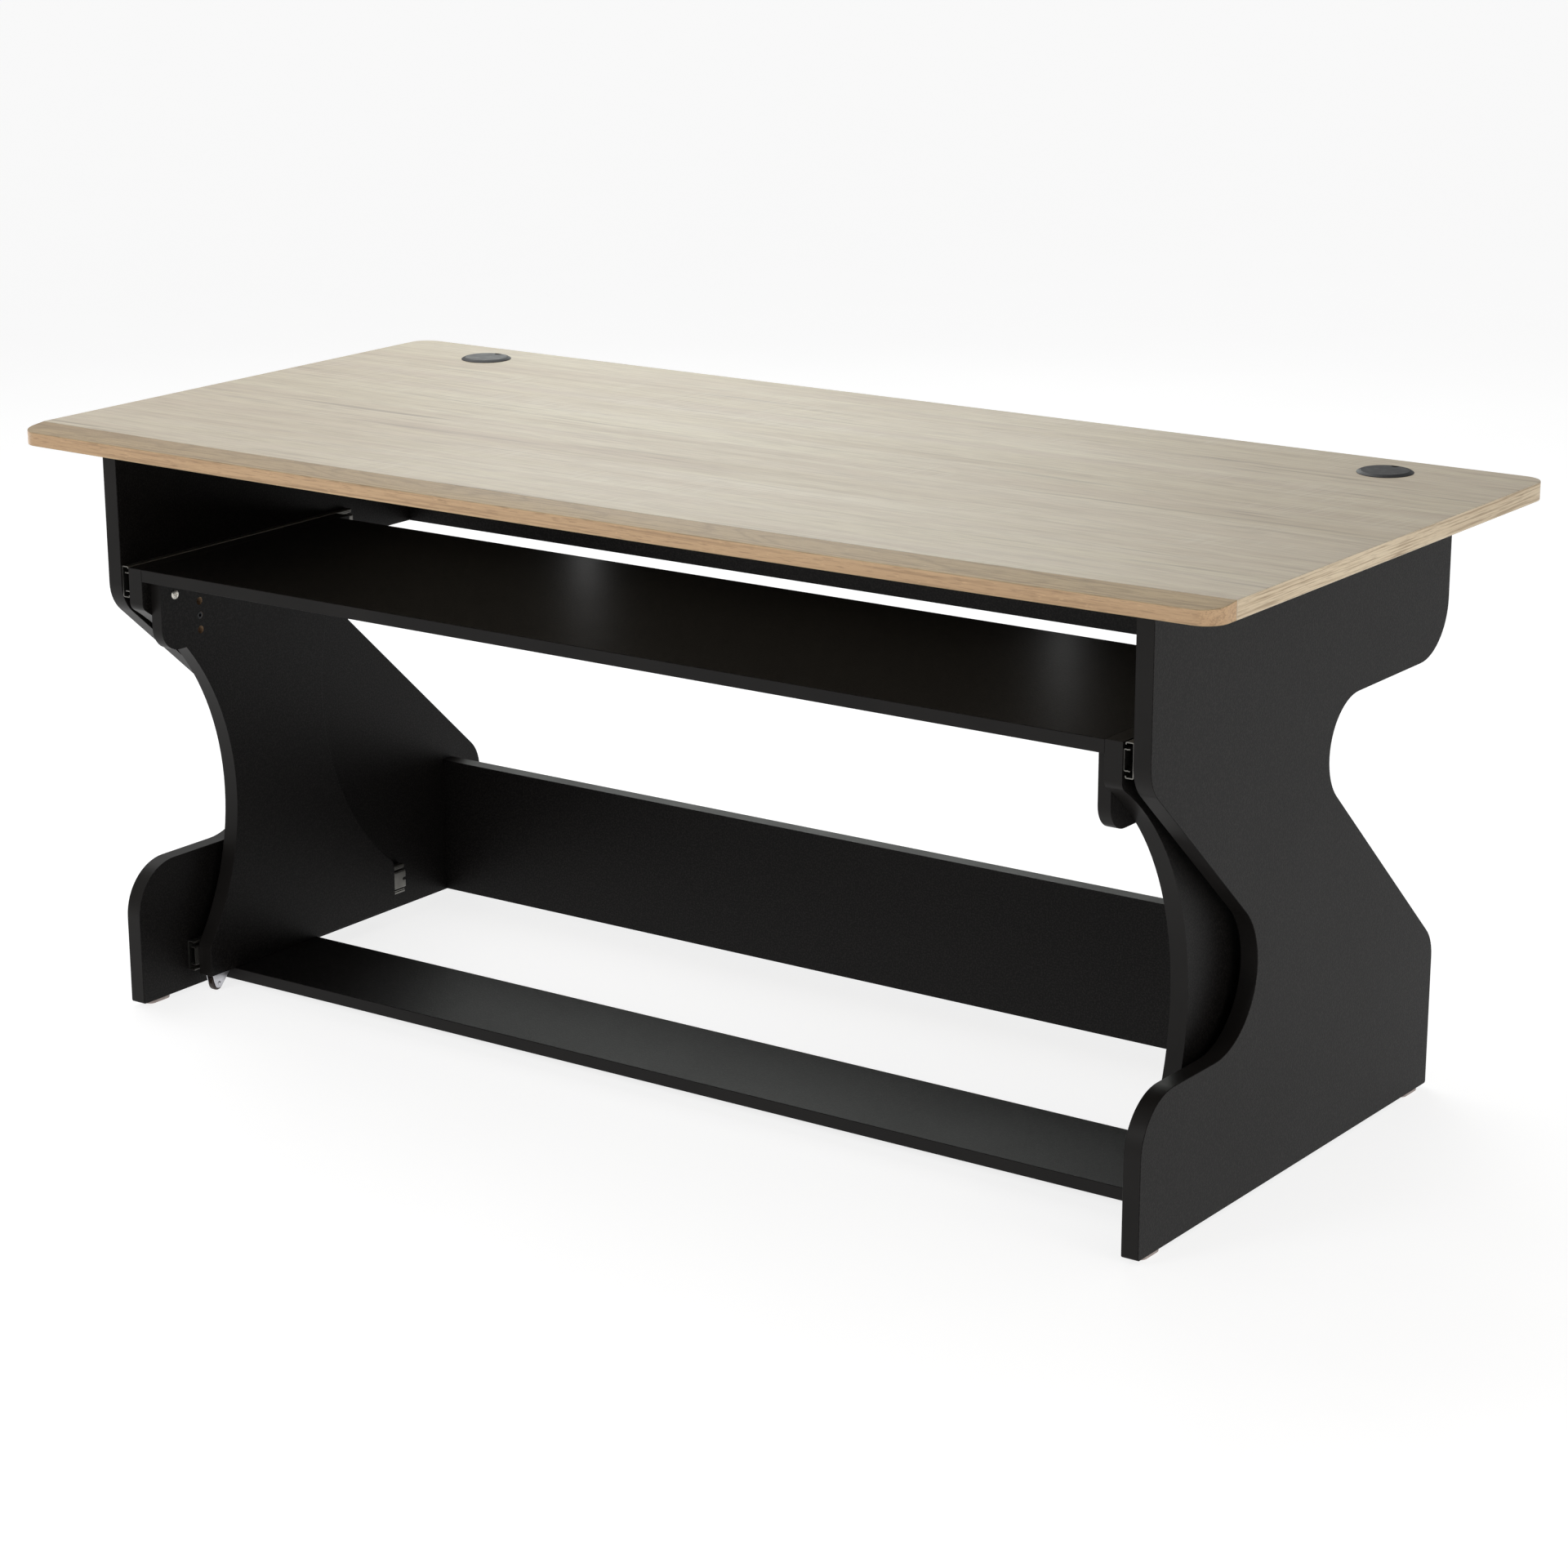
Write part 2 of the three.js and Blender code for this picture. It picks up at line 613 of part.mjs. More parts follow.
function castorWheel(x, z) {
  const half = CASTOR.wheelWidth / 2;
  const round = 2.5;
  const shoulder = CASTOR.wheelRadius - round;
  const tread = [
    ...arc(shoulder, -half + round, round, -Math.PI / 2, 0),
    ...arc(shoulder, half - round, round, 0, Math.PI / 2),
  ].map((p) => [p.x, p.y]);
  const wheel = turnedAboutX([[0, -half], ...tread, [0, half]], x, CASTOR.y, z);
  const bore = barAlongX(CASTOR.axleRadius + CASTOR.wheelClearance, x - half - 1, x + half + 1, CASTOR.y, z);
  return cut(wheel, bore);
}

// ---- cable grommets ----
function addGrommet(name, side) {
  const x = side * GROMMET.x;
  const y = GROMMET.y;
  const top = TOP.upper;
  const outer = GROMMET.boreRadius - FIT_GAP;
  const inner = outer - GROMMET.wall;
  const capRadius = GROMMET.flangeRadius - GROMMET.flangeSlope - 2 * FIT_GAP;
  const seat = top + GROMMET.seatHeight;
  const lip = top + GROMMET.flangeHeight;
  const capTop = lip + GROMMET.capRise;
  const sleeveSolid = turnedAboutZ([
    [0, top - GROMMET.sleeveDepth],
    [outer, top - GROMMET.sleeveDepth],
    [outer, top],
    [GROMMET.flangeRadius, top],
    [GROMMET.flangeRadius, seat],
    [GROMMET.flangeRadius - GROMMET.flangeSlope, lip],
    [0, lip],
  ], x, y);
  const recess = barAlongZ(GROMMET.flangeRadius - GROMMET.flangeSlope - FIT_GAP, x, y, seat, lip + 1);
  const throat = barAlongZ(inner, x, y, top - GROMMET.sleeveDepth - 1, lip + 1);
  addPart(`grommet_sleeve_${name}`, 'black_plastic', cut(sleeveSolid, recess, throat));

  const skirtOuter = inner - FIT_GAP;
  const capSolid = turnedAboutZ([
    [0, top - GROMMET.skirtDepth],
    [skirtOuter, top - GROMMET.skirtDepth],
    [skirtOuter, seat],
    [capRadius, seat],
    [capRadius, lip],
    [capRadius - GROMMET.capBevel, capTop],
    [0, capTop],
  ], x, y);
  const hollow = barAlongZ(skirtOuter - GROMMET.wall, x, y, top - GROMMET.skirtDepth - 1, seat);
  const slotHalf = GROMMET.slotWidth / 2;
  const slot = box(
    x - slotHalf, x + slotHalf, y + GROMMET.slotInner, y + GROMMET.flangeRadius, top - BOARD, lip + 2,
  );
  addPart(`grommet_cap_${name}`, 'black_plastic', cut(capSolid, hollow, slot));
}

addTop();
addStretcher('upper', UPPER_STRETCHER);
addStretcher('lower', LOWER_STRETCHER);
addShelfAndPlank();
for (const [name, side] of SIDES) {
  addSidePanel(name, side);
  addGlides(name, side);
  addSlide(`upper_${name}`, side, SLIDE.upperFront, SLIDE.upperCentre);
  addSlide(`lower_${name}`, side, SLIDE.lowerFront, SLIDE.lowerCentre);
  addCarriageSide(name, side);
  addCastor(name, side);
  addGrommet(name, side);
}

export default desk;
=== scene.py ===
"""Looks for the computer desk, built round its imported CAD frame.

X runs along the desk, -Y is the front and +Z is up, as in the frame. Lengths are in metres, except for
fittings and slides, which are drawn in millimetres.
"""
import json
import math

import bmesh
import bpy
from mathutils import Matrix, Vector

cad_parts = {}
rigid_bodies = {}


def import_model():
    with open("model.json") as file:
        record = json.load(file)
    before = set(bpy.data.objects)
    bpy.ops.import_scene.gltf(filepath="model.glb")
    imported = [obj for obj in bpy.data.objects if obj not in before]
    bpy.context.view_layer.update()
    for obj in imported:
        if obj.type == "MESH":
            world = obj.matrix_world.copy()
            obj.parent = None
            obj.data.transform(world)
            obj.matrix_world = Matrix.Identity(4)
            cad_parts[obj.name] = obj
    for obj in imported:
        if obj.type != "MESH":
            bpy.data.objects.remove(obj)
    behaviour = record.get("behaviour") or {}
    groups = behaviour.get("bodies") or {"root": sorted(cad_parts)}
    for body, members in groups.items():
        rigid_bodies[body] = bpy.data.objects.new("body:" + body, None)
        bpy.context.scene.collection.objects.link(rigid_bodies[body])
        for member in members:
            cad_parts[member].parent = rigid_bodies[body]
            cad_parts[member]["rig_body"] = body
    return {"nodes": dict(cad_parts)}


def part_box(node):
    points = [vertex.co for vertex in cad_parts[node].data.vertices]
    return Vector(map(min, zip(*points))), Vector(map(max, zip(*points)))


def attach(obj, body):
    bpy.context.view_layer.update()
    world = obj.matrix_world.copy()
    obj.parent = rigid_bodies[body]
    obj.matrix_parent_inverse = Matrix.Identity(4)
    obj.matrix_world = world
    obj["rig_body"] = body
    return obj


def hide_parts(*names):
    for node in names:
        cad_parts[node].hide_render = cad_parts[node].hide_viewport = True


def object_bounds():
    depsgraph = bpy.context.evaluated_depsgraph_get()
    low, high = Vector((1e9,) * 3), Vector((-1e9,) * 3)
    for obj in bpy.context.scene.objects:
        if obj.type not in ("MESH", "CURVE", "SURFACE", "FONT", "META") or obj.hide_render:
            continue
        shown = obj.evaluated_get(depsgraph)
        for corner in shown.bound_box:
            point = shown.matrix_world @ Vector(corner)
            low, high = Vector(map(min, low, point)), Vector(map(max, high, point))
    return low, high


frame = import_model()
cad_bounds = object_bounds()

NODES = frame["nodes"]
SIDES = {"left": -1, "right": 1}
LEVELS = ("upper", "lower")
CAM_PLACES = ("lower", "upper")
ENDS = ("front", "rear")
X, Y, Z = range(3)
MM = 0.001

# Edges. Angles are in degrees.
EASED_BOARD = 0.8 * MM
EASED_METAL = 0.25 * MM
EASED_GLIDE = 1.5 * MM
EASED_STEPS = 3
CORNER_ANGLE = 60
SMOOTH_ANGLE = 35
FLAT_ANGLE = 0.3
WELD_DISTANCE = 1e-6

# A board's face is square to its thickness. Any other surface of it is an edge.
FACE_NORMAL = 0.9

# Open bores in the boards. Slack takes in the flats of a faceted bore.
CLEAT_BORE = {"radius": 5 * MM, "pitch": 18.5 * MM}
CAM_BORE_RADIUS = 7.5 * MM
BORE_SLACK = 1.05

# Fittings, in millimetres. Depths are below the face that is seen, and a bend is a rounded corner's radius.
# A crown or a groove is a list of (radius, depth), and a cross recess is (reach, half width, depth).
TURNED_SEGMENTS = 96
SCREW = {
    "crown": ((2.6, 0.1), (4.7, 0.6), (5.7, 1.5)),
    "head_depth": 2.6,
    "shank_radius": 2,
    "cross": (2.8, 0.6, 1.6),
}
CONNECTOR = {"barrel_depth": 15.7, "bend": 0.5, "pin_radius": 2, "hexagon_radius": 2.6, "socket_depth": 5}
CAM = {"bend": 0.5, "cross": (4.2, 0.8, 3)}
GROMMET_SEGMENTS = 128
SLEEVE = {
    "inner_radius": 27.5,
    "outer_radius": 29.7,
    "flange_depth": 2.4,
    "flange_edge_depth": 1.7,
    "flange_bend": 0.35,
    "slope_width": 3.2,
    "rim_bend": 0.4,
    "rim_width": 0.3,
    "seat_depth": 1.6,
}
CAP = {
    "lid_depth": 2.1,
    "edge_depth": 0.6,
    "bevel_width": 1.1,
    "bevel_bend": 0.6,
    "skirt_radius": 27.2,
    "skirt_wall": 2.2,
}
NOTCH = {"half_width": 5, "innermost": 21.2, "outermost": 40, "depth": 23, "steps": 16}
AXLE = {"crown": ((0, 0), (1.9, 0.1)), "edge_depth": 0.6, "head_depth": 1, "pin_radius": 1.5}
WHEEL = {
    "bore_radius": 1.6,
    "groove": ((3.2, 0), (3.7, 0.5), (6.2, 0.5), (6.6, 0)),
    "shoulder_width": 2.5,
    "bend": 2.4,
}

# Telescopic slides, in millimetres. Each section is a strip from one free edge round to mid height, as
# (across from the cabinet member's web, up from mid height) or with a bend's radius as well.
SLIDE_METAL = 1.2
SLIDE_LIPS = {
    "cabinet": [(10.0, 17.1), (10.0, 19.4, 1.1), (0.6, 19.4, 1.6)],
    "middle": [(10.0, 15.6), (8.4, 15.6, 0.9), (6.4, 15.2, 2), (4.4, 15.6, 0.9), (2.7, 15.6, 1.4)],
    "drawer": [(4.8, 11.8), (6.0, 11.8, 0.6), (7.4, 11.5, 1), (9.4, 11.8, 0.9), (12.1, 11.8, 1.4)],
}
MIDDLE_SHORTER = 24
MOUNTING_SLOT = {"first": 35, "pitch": 64, "half_length": 3, "radius": 2.2, "corners": 18}
CAGE_METAL = 0.35
CAGE_LIPS = {
    "outer": [(8.8, 17.5), (1.65, 17.5, 0.6)],
    "inner": [(9.8, 13.7), (3.75, 13.7, 0.6)],
}
CAGE_SPAN = (26, 216)
BALL = {"radius": 1.1, "pitch": 14, "across": 6.4}

# Studio. The room looks brighter to the camera than the light it gives. Angles are in degrees.
ROOM = {"light": 0.4, "look": 0.95}
FLOOR = {"half_size": 60, "cells": 8, "gap": 0.5 * MM}
CAMERA = {
    "position": (2.7541, -3.8153, 1.6899),
    "azimuth": 35.816,
    "elevation": 17.554,
    "roll": -0.270,
    "lens": 91.35,
    "shift": (0.01808, 0.06937),
}


# ---- materials ----
def colour_socket(sockets, name):
    """The colour socket of this name; a Mix node has one for each kind of value."""
    return next(socket for socket in sockets if socket.name == name and socket.type == "RGBA")


class Recipe:
    """A material under construction: each call adds nodes and returns their output."""

    def __init__(self, name, **settings):
        self.material = bpy.data.materials.new(name)
        self.material.use_nodes = True
        self.tree = self.material.node_tree
        self.shader = self.tree.nodes["Principled BSDF"]
        for socket, value in settings.items():
            self.feed(self.shader.inputs[socket.replace("_", " ")], value)

    def feed(self, socket, value):
        if isinstance(value, bpy.types.NodeSocket):
            self.tree.links.new(value, socket)
        else:
            socket.default_value = value

    def node(self, kind, **settings):
        made = self.tree.nodes.new("ShaderNode" + kind)
        for key, value in settings.items():
            setattr(made, key, value)
        return made

    def position(self):
        return self.node("TexCoord").outputs["Object"]

    def math(self, operation, a, b=0.0):
        made = self.node("Math", operation=operation)
        self.feed(made.inputs[0], a)
        self.feed(made.inputs[1], b)
        return made.outputs[0]

    def scaled(self, scale, shift=(0, 0, 0), point=None):
        made = self.node("Mapping")
        self.feed(made.inputs["Vector"], point or self.position())
        made.inputs["Scale"].default_value = scale
        made.inputs["Location"].default_value = shift
        return made.outputs[0]

    def slanted(self, degrees):
        """The position turned about Z."""
        made = self.node("Mapping")
        self.feed(made.inputs["Vector"], self.position())
        made.inputs["Rotation"].default_value[Z] = math.radians(degrees)
        return made.outputs[0]

    def noise(self, scale, detail=3.0, shift=(0, 0, 0), distortion=0.0, point=None):
        made = self.node("TexNoise")
        self.feed(made.inputs["Vector"], self.scaled(scale, shift, point))
        made.inputs["Scale"].default_value = 1.0
        made.inputs["Detail"].default_value = detail
        made.inputs["Distortion"].default_value = distortion
        return made.outputs["Fac"]

    def ramp(self, factor, *stops):
        """stops are (position, value or colour)."""
        made = self.node("ValToRGB")
        self.feed(made.inputs["Fac"], factor)
        elements = made.color_ramp.elements
        while len(elements) < len(stops):
            elements.new(0.5)
        for element, (position, value) in zip(elements, stops):
            element.position = position
            colour = value if isinstance(value, tuple) else (value, value, value)
            element.color = (*colour, 1.0)
        return made.outputs["Color"]

    def rise(self, pattern, low, high):
        """0 up to the low value and 1 from the high value."""
        return self.ramp(pattern, (low, 0.0), (high, 1.0))

    def fall(self, pattern, low, high):
        """1 up to the low value and 0 from the high value."""
        return self.ramp(pattern, (low, 1.0), (high, 0.0))

    def mix(self, factor, a, b):
        made = self.node("Mix", data_type="RGBA")
        self.feed(made.inputs["Factor"], factor)
        for name, value in (("A", a), ("B", b)):
            colour = (*value, 1.0) if isinstance(value, tuple) else value
            self.feed(colour_socket(made.inputs, name), colour)
        return colour_socket(made.outputs, "Result")

    def stain(self, colour, tint, strength, mask):
        """The colour, taken towards the tint where the mask is."""
        return self.mix(self.math("MULTIPLY", mask, strength), colour, tint)

    def bump(self, height, strength, distance, under=None):
        made = self.node("Bump")
        self.feed(made.inputs["Height"], height)
        made.inputs["Strength"].default_value = strength
        made.inputs["Distance"].default_value = distance
        if under is not None:
            self.feed(made.inputs["Normal"], under)
        return made.outputs["Normal"]

    def finish(self, colour, roughness=None, normal=None):
        for socket, value in (("Base Color", colour), ("Roughness", roughness), ("Normal", normal)):
            if value is not None:
                self.feed(self.shader.inputs[socket], value)
        return self.material


def oak_laminate():
    """Pale oak decor: clouds of tone, wavy streaks and faint rings along X, and saw marks across them."""
    r = Recipe("oak_laminate", Specular_IOR_Level=0.5)
    tone = r.noise((0.7, 11, 11), 3, shift=(3.1, 0.4, 0), distortion=0.2)
    colour = r.ramp(
        tone,
        (0.36, (0.535, 0.450, 0.350)),
        (0.45, (0.595, 0.525, 0.392)),
        (0.54, (0.565, 0.485, 0.372)),
        (0.64, (0.602, 0.536, 0.402)),
    )
    bands = r.noise((1.4, 34, 34), 4, shift=(0.7, 1.9, 0), distortion=0.35)
    colour = r.stain(colour, (0.430, 0.342, 0.252), 0.34, r.rise(bands, 0.50, 0.70))
    colour = r.stain(colour, (0.660, 0.606, 0.462), 0.30, r.fall(bands, 0.32, 0.48))
    mottle = r.noise((11, 170, 170), 4, shift=(1.4, 6.1, 0), distortion=0.3)
    colour = r.stain(colour, (0.410, 0.332, 0.244), 0.40, r.rise(mottle, 0.48, 0.66))

    streaks = r.noise((3.6, 105, 105), 3, shift=(4.2, 8.9, 0), distortion=0.5)
    streak_patch = r.rise(r.noise((1.4, 9, 9), 2, shift=(6.5, 1.2, 0)), 0.42, 0.62)
    streak_ink = r.math("MULTIPLY", r.rise(streaks, 0.58, 0.74), streak_patch)
    colour = r.stain(colour, (0.270, 0.212, 0.158), 0.85, streak_ink)

    height = r.noise((0.75, 7.5, 7.5), 2.5, shift=(9.4, 2.2, 0), distortion=0.25)
    rings = r.math("SINE", r.math("MULTIPLY", height, 125.0))
    figure = r.rise(r.noise((0.8, 3.0, 3.0), 2, shift=(5.3, 7.7, 0)), 0.50, 0.64)
    ring_ink = r.math("MULTIPLY", r.rise(rings, 0.55, 1.0), figure)
    colour = r.stain(colour, (0.330, 0.270, 0.208), 0.36, ring_ink)

    fibre = r.noise((30, 520, 520), 3)
    colour = r.stain(colour, (0.375, 0.315, 0.248), 0.42, r.rise(fibre, 0.46, 0.70))
    saw = r.noise((310, 14, 14), 3, shift=(0, 3, 0), point=r.slanted(9))
    saw_patch = r.rise(r.noise((4, 10, 10), 2, shift=(2, 6, 0)), 0.50, 0.62)
    saw_ink = r.math("MULTIPLY", r.rise(saw, 0.48, 0.64), saw_patch)
    colour = r.stain(colour, (0.690, 0.645, 0.535), 0.26, saw_ink)

    roughness = r.ramp(bands, (0.3, 0.45), (0.7, 0.52))
    relief = r.bump(saw, 0.10, 0.0002)
    relief = r.bump(fibre, 0.12, 0.0002, relief)
    return r.finish(colour, roughness, relief)


def oak_band():
    """Oak edge band. Its grain runs round the board's edge, along X plus Y."""
    r = Recipe("oak_edge_band")
    axes = r.node("SeparateXYZ")
    r.feed(axes.inputs[0], r.position())
    along = r.math("ADD", axes.outputs["X"], axes.outputs["Y"])
    unrolled = r.node("CombineXYZ")
    r.feed(unrolled.inputs["X"], along)
    r.feed(unrolled.inputs["Z"], axes.outputs["Z"])
    point = unrolled.outputs[0]
    grain = r.noise((11, 1, 420), 5, point=point, distortion=0.4)
    broad = r.noise((3, 1, 110), 3, shift=(4, 0, 2), point=point)
    pores = r.noise((50, 1, 900), 3, point=point)
    colour = r.ramp(broad, (0.3, (0.560, 0.440, 0.290)), (0.6, (0.680, 0.565, 0.400)))
    colour = r.stain(colour, (0.315, 0.226, 0.138), 0.72, r.rise(grain, 0.48, 0.62))
    colour = r.stain(colour, (0.230, 0.160, 0.095), 0.50, r.rise(pores, 0.56, 0.70))
    return r.finish(colour, r.ramp(grain, (0.3, 0.45), (0.7, 0.6)), r.bump(grain, 0.15, 0.0002))


def solid_oak(name, dark, light, ring_strength):
    """Solid oak along X: growth rings about a pith below the strip, dark lines and pores, pale flecks."""
    r = Recipe(name, Specular_IOR_Level=0.3)
    pith_y, pith_z = -0.352, 0.690
    wander = r.noise((2.2, 9, 9), 3, shift=(2, 1, 6))
    axes = r.node("SeparateXYZ")
    r.feed(axes.inputs[0], r.position())
    across = r.math("SUBTRACT", axes.outputs["Y"], pith_y)
    above = r.math("SUBTRACT", axes.outputs["Z"], pith_z)
    square = r.math("ADD", r.math("POWER", r.math("ABSOLUTE", across), 2.0), r.math("POWER", above, 2.0))
    radius = r.math("ADD", r.math("SQRT", square), r.math("MULTIPLY", wander, 0.06))
    rings = r.math("FRACT", r.math("MULTIPLY", radius, 260.0))
    late_wood = r.ramp(rings, (0.0, 0.15), (0.55, 0.0), (0.86, 1.0), (1.0, 0.2))
    tone = r.noise((1.3, 22, 22), 4, shift=(7, 3, 1))
    lines = r.noise((3, 290, 290), 3, shift=(6, 4, 8), distortion=0.3)
    pores = r.noise((42, 820, 820), 3)
    flecks = r.noise((120, 420, 420), 2, shift=(1, 5, 2))
    shade = tuple(0.62 * channel for channel in dark)
    bright = tuple(1.22 * channel for channel in light)
    colour = r.ramp(tone, (0.3, dark), (0.7, light))
    colour = r.stain(colour, shade, ring_strength, late_wood)
    colour = r.stain(colour, shade, 0.5, r.rise(lines, 0.52, 0.66))
    colour = r.stain(colour, shade, 0.55, r.rise(pores, 0.55, 0.66))
    colour = r.stain(colour, bright, 0.35, r.rise(flecks, 0.62, 0.74))
    return r.finish(colour, r.ramp(tone, (0.3, 0.42), (0.7, 0.54)), r.bump(pores, 0.2, 0.0002))


def black_melamine():
    """Black board facing: a fine pebble in colour and relief, and slow changes of tone and gloss."""
    r = Recipe("black_melamine", Specular_IOR_Level=0.115)
    pebble = r.noise((480, 480, 480), 4)
    cloud = r.noise((4, 4, 4), 4)
    colour = r.ramp(cloud, (0.3, (0.0026, 0.0023, 0.0022)), (0.7, (0.0038, 0.0033, 0.0031)))
    colour = r.stain(colour, (0.0125, 0.0112, 0.0105), 0.8, r.rise(pebble, 0.46, 0.62))
    roughness = r.ramp(cloud, (0.3, 0.43), (0.7, 0.46))
    return r.finish(colour, roughness, r.bump(pebble, 0.5, 0.0003))


def black_band():
    """Black edge band: plainer than the facing, and rubbed slightly grey in places."""
    r = Recipe("black_edge_band", Specular_IOR_Level=0.15)
    grain = r.noise((160, 160, 160), 4)
    rub = r.noise((11, 11, 11), 5, shift=(0, 2, 5))
    colour = r.ramp(rub, (0.4, (0.0068, 0.0060, 0.0055)), (0.75, (0.0105, 0.0094, 0.0086)))
    return r.finish(colour, r.ramp(rub, (0.3, 0.38), (0.7, 0.46)), r.bump(grain, 0.10, 0.0002))


def raw_fibreboard():
    r = Recipe("raw_fibreboard", Roughness=0.9)
    fibre = r.noise((700, 700, 700), 5)
    colour = r.ramp(fibre, (0.3, (0.20, 0.125, 0.070)), (0.7, (0.36, 0.24, 0.145)))
    return r.finish(colour, None, r.bump(fibre, 0.5, 0.0004))


def metal(name, colour, roughness):
    """Plated steel: patches of a darker tint, with fine drawing lines along Y in the gloss."""
    r = Recipe(name, Metallic=1.0)
    patch = r.noise((60, 60, 60), 3)
    lines = r.noise((2600, 40, 2600), 3)
    dull = tuple(0.82 * channel for channel in colour)
    tint = r.ramp(patch, (0.35, dull), (0.65, colour))
    gloss = r.ramp(lines, (0.3, roughness - 0.07), (0.7, roughness + 0.09))
    return r.finish(tint, gloss, r.bump(lines, 0.06, 0.0001))


def plastic(name, colour, worn, roughness):
    """Moulded plastic: fine spark texture and slight scuffs."""
    r = Recipe(name, Specular_IOR_Level=0.35)
    spark = r.noise((1400, 1400, 1400), 2)
    scuff = r.noise((90, 90, 90), 5, shift=(1, 4, 2))
    tint = r.mix(r.rise(scuff, 0.5, 0.75), colour, worn)
    gloss = r.ramp(scuff, (0.35, roughness - 0.05), (0.7, roughness + 0.1))
    return r.finish(tint, gloss, r.bump(spark, 0.15, 0.0002))


def floor_material():
    """Pale studio floor. It glows, so that the desk's shadow stays pale."""
    r = Recipe("pale_floor", Emission_Color=(1.0, 1.0, 1.0, 1.0), Emission_Strength=0.80)
    grain = r.noise((3, 3, 3), 4)
    colour = r.ramp(grain, (0.3, (0.29, 0.29, 0.29)), (0.7, (0.31, 0.31, 0.31)))
    return r.finish(colour, r.ramp(grain, (0.3, 0.7), (0.7, 0.8)))


OAK_LAMINATE = oak_laminate()
OAK_BAND = oak_band()
PLANED_OAK = solid_oak("planed_oak", (0.350, 0.245, 0.132), (0.470, 0.350, 0.200), 0.42)
OILED_OAK = solid_oak("oiled_oak", (0.455, 0.292, 0.165), (0.560, 0.378, 0.222), 0.12)
BLACK_MELAMINE = black_melamine()
BLACK_BAND = black_band()
RAW_FIBREBOARD = raw_fibreboard()
ZINC = metal("zinc_plate", (0.62, 0.62, 0.65), 0.32)
# The slides' steel is a dark, warm copy of the plated metal, and a little rougher. Its darkness is painted
# shade for the slides that sit in shade under the top.
SHADE_DARKENED_SLIDE_STEEL = metal("slide_steel_darkened_for_shade", (0.20, 0.195, 0.18), 0.38)
NICKEL = metal("nickel_plate", (0.86, 0.83, 0.76), 0.40)
BLACK_PLASTIC = plastic("black_plastic", (0.012, 0.013, 0.015), (0.03, 0.031, 0.034), 0.44)
GLIDE_PLASTIC = plastic("glide_plastic", (0.36, 0.30, 0.28), (0.45, 0.39, 0.36), 0.55)
WHEEL_PLASTIC = plastic("wheel_plastic", (0.022, 0.014, 0.010), (0.05, 0.034, 0.026), 0.35)


# ---- the frame's boxes ----
def box_centre(node):
    low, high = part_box(node)
    return (low + high) / 2


def box_size(node):
    """Size of a CAD node's box in millimetres."""
    low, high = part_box(node)
    return (high - low) / MM


def face_frame(node, axis, sign):
    """Frame at the middle of one face of a CAD node's box, with its Z pointing out of the box."""
    low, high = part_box(node)
    origin = (low + high) / 2
    origin[axis] = (high if sign > 0 else low)[axis]
    out, across = Vector((0, 0, 0)), Vector((0, 0, 0))
    out[axis] = sign
    across[(axis + 1) % 3] = 1
    turn = Matrix((across, out.cross(across), out)).transposed()
    return Matrix.Translation(origin) @ turn.to_4x4()


# ---- making pieces ----
def new_piece(name, bm, materials):
    mesh = bpy.data.meshes.new(name)
    bmesh.ops.recalc_face_normals(bm, faces=bm.faces)
    bm.to_mesh(mesh)
    bm.free()
    for material in materials:
        mesh.materials.append(material)
    piece = bpy.data.objects.new(name, mesh)
    bpy.context.scene.collection.objects.link(piece)
    return piece


def apply_modifiers(piece):
    evaluated = piece.evaluated_get(bpy.context.evaluated_depsgraph_get())
    piece.data = bpy.data.meshes.new_from_object(evaluated)
    piece.modifiers.clear()


def smooth_flats(piece):
    """Smooth shading that leaves the flats flat: the broad faces set the normals of the eased edges."""
    for polygon in piece.data.polygons:
        polygon.use_smooth = True
    piece.data.set_sharp_from_angle(angle=math.radians(SMOOTH_ANGLE))
    piece.modifiers.new("flat_normals", "WEIGHTED_NORMAL").keep_sharp = True
    apply_modifiers(piece)


def cut_away(piece, cutter):
    modifier = piece.modifiers.new("cut", "BOOLEAN")
    modifier.object = cutter
    modifier.solver = "EXACT"
    apply_modifiers(piece)
    bpy.data.objects.remove(cutter)


def stand_in(piece, node):
    """Smooths the piece and puts it in the CAD node's place, on the same body."""
    smooth_flats(piece)
    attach(piece, NODES[node]["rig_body"])
    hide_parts(node)


def ease_edges(bm, radius):
    corners = [
        edge for edge in bm.edges
        if len(edge.link_faces) == 2 and edge.calc_face_angle() > math.radians(CORNER_ANGLE)
    ]
    bmesh.ops.bevel(
        bm,
        geom=corners,
        offset=radius,
        segments=EASED_STEPS,
        profile=0.5,
        affect="EDGES",
        clamp_overlap=True,
    )


def cad_copy(node):
    """The CAD node's mesh without the triangle edges that cross its flats."""
    bm = bmesh.new()
    bm.from_mesh(NODES[node].data)
    bmesh.ops.remove_doubles(bm, verts=bm.verts, dist=WELD_DISTANCE)
    bmesh.ops.dissolve_limit(bm, angle_limit=math.radians(FLAT_ANGLE), verts=bm.verts, edges=bm.edges)
    return bm


def eased(node, material, radius):
    bm = cad_copy(node)
    ease_edges(bm, radius)
    stand_in(new_piece(node + "_finished", bm, [material]), node)


# ---- boards ----
def board(node, thin, face, band, bores=()):
    """The CAD board with eased edges; thin is the axis through its thickness.

    Its faces take one finish and its edge band another, and its bores show raw board.
    """
    finishes = [face, band, RAW_FIBREBOARD]
    bm = cad_copy(node)
    low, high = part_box(node)
    for polygon in bm.faces:
        if in_bore(polygon, bores, thin, low, high):
            finish = RAW_FIBREBOARD
        elif abs(polygon.normal[thin]) < FACE_NORMAL:
            finish = band
        else:
            finish = face
        polygon.material_index = finishes.index(finish)
    ease_edges(bm, EASED_BOARD)
    stand_in(new_piece(node + "_finished", bm, finishes), node)


